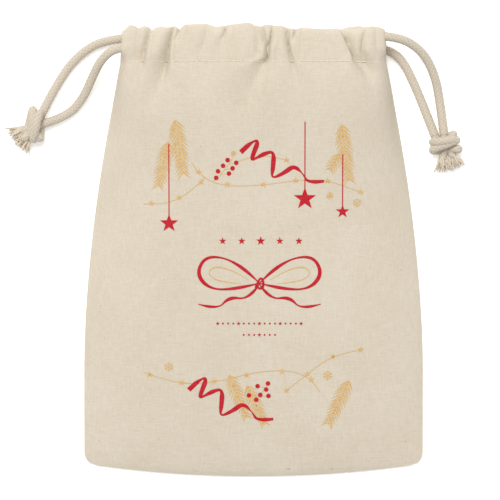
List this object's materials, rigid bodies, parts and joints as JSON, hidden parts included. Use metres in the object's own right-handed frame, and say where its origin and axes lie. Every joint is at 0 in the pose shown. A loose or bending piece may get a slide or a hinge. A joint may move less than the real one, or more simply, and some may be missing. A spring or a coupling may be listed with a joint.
{
  "type": "drawstring gift pouch",
  "caption": "Flat cotton canvas gift pouch with a casing round its gathered mouth and two knotted cord drawstrings that pull from opposite sides.",
  "frame": {"origin": "middle of the pouch's outline, on the surface that it lies on", "axes": "+Y toward the mouth, +Z out of the front, +X to the right as seen from the front"},
  "size_m": [0.2019, 0.2, 0.0176],
  "materials": {
    "cotton_canvas": "matte",
    "cotton_cord": "matte",
    "sewing_thread": "matte"
  },
  "bodies": {
    "pouch": {"back_casing": "cotton_canvas", "back_casing_stitches": "sewing_thread", "back_hem": "cotton_canvas", "back_panel": "cotton_canvas", "bottom_seam_allowance": "cotton_canvas", "bottom_seam_thread": "sewing_thread", "front_casing": "cotton_canvas", "front_casing_stitches": "sewing_thread", "front_hem": "cotton_canvas", "front_panel": "cotton_canvas", "left_seam_allowance": "cotton_canvas", "left_seam_thread": "sewing_thread", "right_seam_allowance": "cotton_canvas", "right_seam_thread": "sewing_thread"},
    "left_drawstring": {"left_cord_back_frayed_end": "cotton_cord", "left_cord_back_tail": "cotton_cord", "left_cord_front_frayed_end": "cotton_cord", "left_cord_front_tail": "cotton_cord", "left_cord_knot": "cotton_cord", "left_cord_run": "cotton_cord", "right_back_slit_flap": "cotton_canvas", "right_front_slit_flap": "cotton_canvas", "right_slit_bartack": "sewing_thread"},
    "right_drawstring": {"left_back_slit_flap": "cotton_canvas", "left_front_slit_flap": "cotton_canvas", "left_slit_bartack": "sewing_thread", "right_cord_back_frayed_end": "cotton_cord", "right_cord_back_tail": "cotton_cord", "right_cord_front_frayed_end": "cotton_cord", "right_cord_front_tail": "cotton_cord", "right_cord_knot": "cotton_cord", "right_cord_run": "cotton_cord"}
  },
  "joints": [
    {"name": "pull_left_drawstring", "type": "slide", "parent": "pouch", "child": "left_drawstring", "axis": [-1, 0, 0], "range_m": [0, 0.03], "deforming": ["front_casing", "front_hem", "back_casing", "back_hem", "front_casing_stitches", "back_casing_stitches"]},
    {"name": "pull_right_drawstring", "type": "slide", "parent": "pouch", "child": "right_drawstring", "axis": [1, 0, 0], "range_m": [0, 0.03], "deforming": ["front_casing", "front_hem", "back_casing", "back_hem", "front_casing_stitches", "back_casing_stitches"]}
  ]
}
